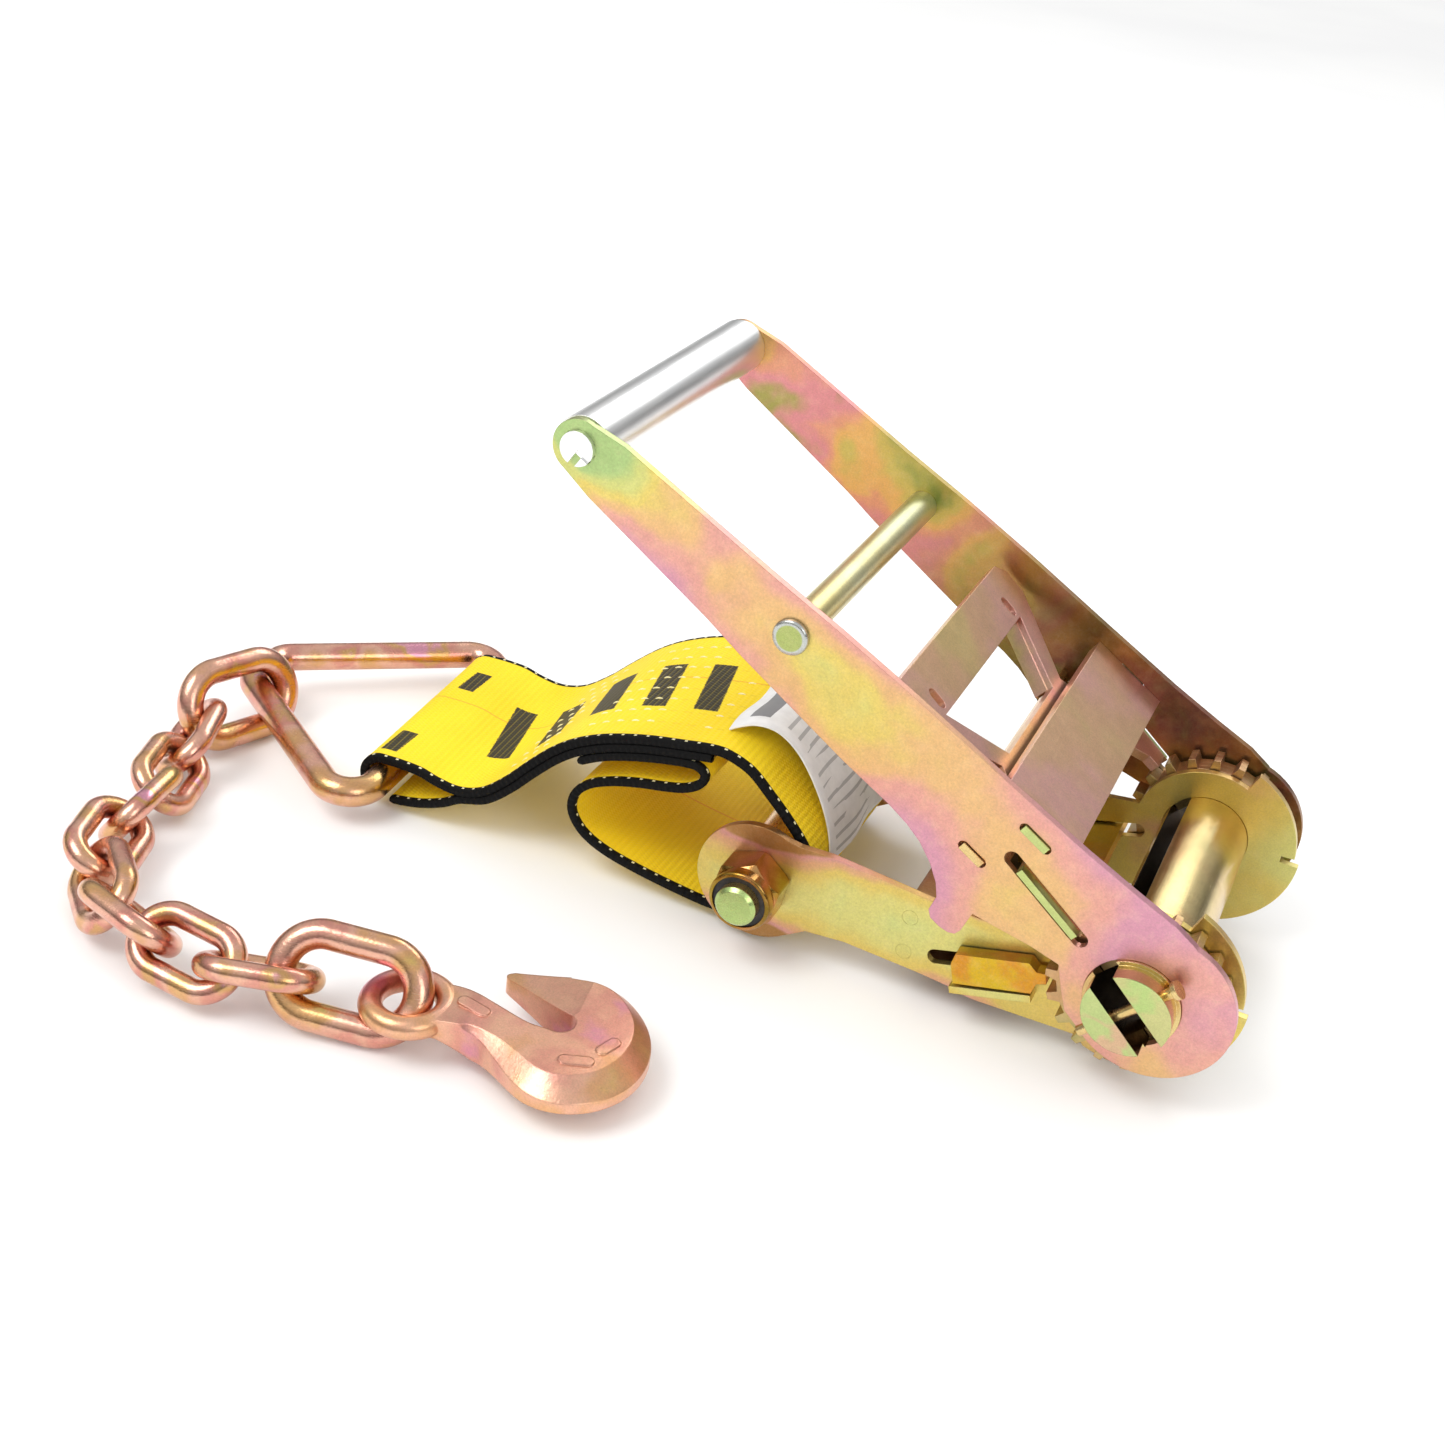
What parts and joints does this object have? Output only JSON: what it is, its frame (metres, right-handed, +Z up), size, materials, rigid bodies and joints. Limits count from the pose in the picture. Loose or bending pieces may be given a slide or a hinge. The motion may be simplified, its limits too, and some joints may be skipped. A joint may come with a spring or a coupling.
{
  "type": "ratchet load binder with chain and grab hook",
  "caption": "Wide-handle ratchet tensioner with a short fixed strap end, a triangular ring, a tail of chain and a grab hook, for tying loads to a trailer",
  "frame": {"origin": "middle of the mandrel, on its axis", "axes": "+Z up with the buckle resting on its base, +Y along the mandrel (the nut end of the anchor bolt is at -Y), the strap, ring and chain run towards -X"},
  "size_m": [0.4389, 0.2822, 0.1934],
  "materials": {
    "base_plate_near": "yellow chromate zinc",
    "base_plate_far": "yellow chromate zinc",
    "base_cross_channel": "yellow chromate zinc",
    "base_rivets": "yellow chromate zinc",
    "anchor_bolt": "yellow chromate zinc",
    "anchor_nut": "yellow chromate zinc",
    "nut_insert": "nylon locking ring",
    "anchor_sleeve": "yellow chromate zinc",
    "lock_springs": "plain steel",
    "handle_plate_near": "yellow chromate zinc",
    "handle_plate_far": "yellow chromate zinc",
    "grip_tube": "bright chrome plate",
    "grip_tabs": "bright chrome plate",
    "handle_crossbar": "plain steel",
    "crossbar_rivets": "yellow chromate zinc",
    "handle_brace": "yellow chromate zinc",
    "spring_seat": "yellow chromate zinc",
    "drive_springs": "plain steel",
    "mandrel_half_upper": "yellow chromate zinc",
    "mandrel_half_lower": "yellow chromate zinc",
    "mandrel_pins": "yellow chromate zinc",
    "ratchet_gear_near": "yellow chromate zinc",
    "ratchet_gear_far": "yellow chromate zinc",
    "drive_pawl": "yellow chromate zinc",
    "lock_pawl": "yellow chromate zinc",
    "webbing": "woven polyester webbing with dark bound edges",
    "delta_ring": "yellow chromate over forged steel",
    "grab_hook": "yellow chromate over forged steel",
    "chain_link_01": "yellow chromate over forged steel",
    "chain_link_02": "yellow chromate over forged steel",
    "chain_link_03": "yellow chromate over forged steel",
    "chain_link_04": "yellow chromate over forged steel",
    "chain_link_05": "yellow chromate over forged steel",
    "chain_link_06": "yellow chromate over forged steel",
    "chain_link_07": "yellow chromate over forged steel",
    "chain_link_08": "yellow chromate over forged steel",
    "chain_link_09": "yellow chromate over forged steel",
    "chain_link_10": "yellow chromate over forged steel"
  },
  "bodies": {
    "frame": {"base_plate_near": "base_plate_near", "base_plate_far": "base_plate_far", "base_cross_channel": "base_cross_channel", "base_rivets": "base_rivets", "anchor_bolt": "anchor_bolt", "anchor_nut": "anchor_nut", "nut_insert": "nut_insert", "anchor_sleeve": "anchor_sleeve", "lock_springs": "lock_springs"},
    "handle": {"handle_plate_near": "handle_plate_near", "handle_plate_far": "handle_plate_far", "grip_tube": "grip_tube", "grip_tabs": "grip_tabs", "handle_crossbar": "handle_crossbar", "crossbar_rivets": "crossbar_rivets", "handle_brace": "handle_brace", "spring_seat": "spring_seat", "drive_springs": "drive_springs"},
    "mandrel": {"mandrel_half_upper": "mandrel_half_upper", "mandrel_half_lower": "mandrel_half_lower", "mandrel_pins": "mandrel_pins", "ratchet_gear_near": "ratchet_gear_near", "ratchet_gear_far": "ratchet_gear_far"},
    "drive_pawl_body": {"drive_pawl": "drive_pawl"},
    "lock_pawl_body": {"lock_pawl": "lock_pawl"},
    "strap": {"webbing": "webbing"},
    "ring": {"delta_ring": "delta_ring"},
    "hook": {"grab_hook": "grab_hook"},
    "link_01": {"chain_link_01": "chain_link_01"},
    "link_02": {"chain_link_02": "chain_link_02"},
    "link_03": {"chain_link_03": "chain_link_03"},
    "link_04": {"chain_link_04": "chain_link_04"},
    "link_05": {"chain_link_05": "chain_link_05"},
    "link_06": {"chain_link_06": "chain_link_06"},
    "link_07": {"chain_link_07": "chain_link_07"},
    "link_08": {"chain_link_08": "chain_link_08"},
    "link_09": {"chain_link_09": "chain_link_09"},
    "link_10": {"chain_link_10": "chain_link_10"}
  },
  "joints": [
    {"name": "handle_pivot", "type": "hinge", "parent": "frame", "child": "handle", "pos_m": [0, 0, 0], "axis": [0, 1, 0], "range_deg": [-18, 135]},
    {"name": "mandrel_spin", "type": "hinge", "parent": "frame", "child": "mandrel", "pos_m": [0, 0, 0], "axis": [0, 1, 0], "continuous": true},
    {"name": "drive_pawl_slide", "type": "slide", "parent": "handle", "child": "drive_pawl_body", "axis": [-0.7826, 0, 0.6225], "range_m": [-0.0032, 0.0062]},
    {"name": "lock_pawl_slide", "type": "slide", "parent": "frame", "child": "lock_pawl_body", "axis": [-0.9668, 0, -0.2554], "range_m": [-0.0028, 0.004]},
    {"name": "strap_pivot", "type": "hinge", "parent": "frame", "child": "strap", "pos_m": [-0.1435, 0, -0.0125], "axis": [0, 1, 0], "range_deg": [-4, 12]},
    {"name": "ring_pivot", "type": "hinge", "parent": "strap", "child": "ring", "pos_m": [-0.311, -0.0055, -0.0274], "axis": [-0.0698, 0.9976, 0], "range_deg": [-10, 40]},
    {"name": "link_01_swing", "type": "hinge", "parent": "ring", "child": "link_01", "pos_m": [-0.39185, -0.02318, -0.02301], "axis": [0.824, -0.5651, -0.042], "range_deg": [-5, 20]},
    {"name": "link_02_swing", "type": "hinge", "parent": "link_01", "child": "link_02", "pos_m": [-0.39149, -0.06477, -0.01965], "axis": [0.3065, -0.1578, -0.9387], "range_deg": [-8, 6]},
    {"name": "link_03_swing", "type": "hinge", "parent": "link_02", "child": "link_03", "pos_m": [-0.3801, -0.08883, -0.02783], "axis": [0.7177, 0.2009, 0.6667], "range_deg": [-8, 8]},
    {"name": "link_04_swing", "type": "hinge", "parent": "link_03", "child": "link_04", "pos_m": [-0.37056, -0.11465, -0.02609], "axis": [0.7189, 0.2128, -0.6617], "range_deg": [-8, 8]},
    {"name": "link_05_swing", "type": "hinge", "parent": "link_04", "child": "link_05", "pos_m": [-0.36636, -0.14191, -0.02477], "axis": [0.6071, 0.1206, 0.7855], "range_deg": [-8, 8]},
    {"name": "link_06_swing", "type": "hinge", "parent": "link_05", "child": "link_06", "pos_m": [-0.35667, -0.16778, -0.02328], "axis": [0.7986, 0.2577, -0.5439], "range_deg": [-8, 8]},
    {"name": "link_07_swing", "type": "hinge", "parent": "link_06", "child": "link_07", "pos_m": [-0.3339, -0.18488, -0.02448], "axis": [0.426, 0.5189, 0.7411], "range_deg": [-8, 8]},
    {"name": "link_08_swing", "type": "hinge", "parent": "link_07", "child": "link_08", "pos_m": [-0.30688, -0.19138, -0.02292], "axis": [0.1713, 0.6725, -0.72], "range_deg": [-8, 8]},
    {"name": "link_09_swing", "type": "hinge", "parent": "link_08", "child": "link_09", "pos_m": [-0.27981, -0.19017, -0.02625], "axis": [0.0797, 0.7473, 0.6597], "range_deg": [-8, 8]},
    {"name": "link_10_swing", "type": "hinge", "parent": "link_09", "child": "link_10", "pos_m": [-0.2542, -0.17977, -0.02487], "axis": [-0.2868, 0.8057, -0.5183], "range_deg": [-8, 8]},
    {"name": "hook_swing", "type": "hinge", "parent": "link_10", "child": "hook", "pos_m": [-0.21832, -0.17067, -0.02462], "axis": [-0.0798, 0.5694, 0.8182], "range_deg": [-1, 8]}
  ]
}
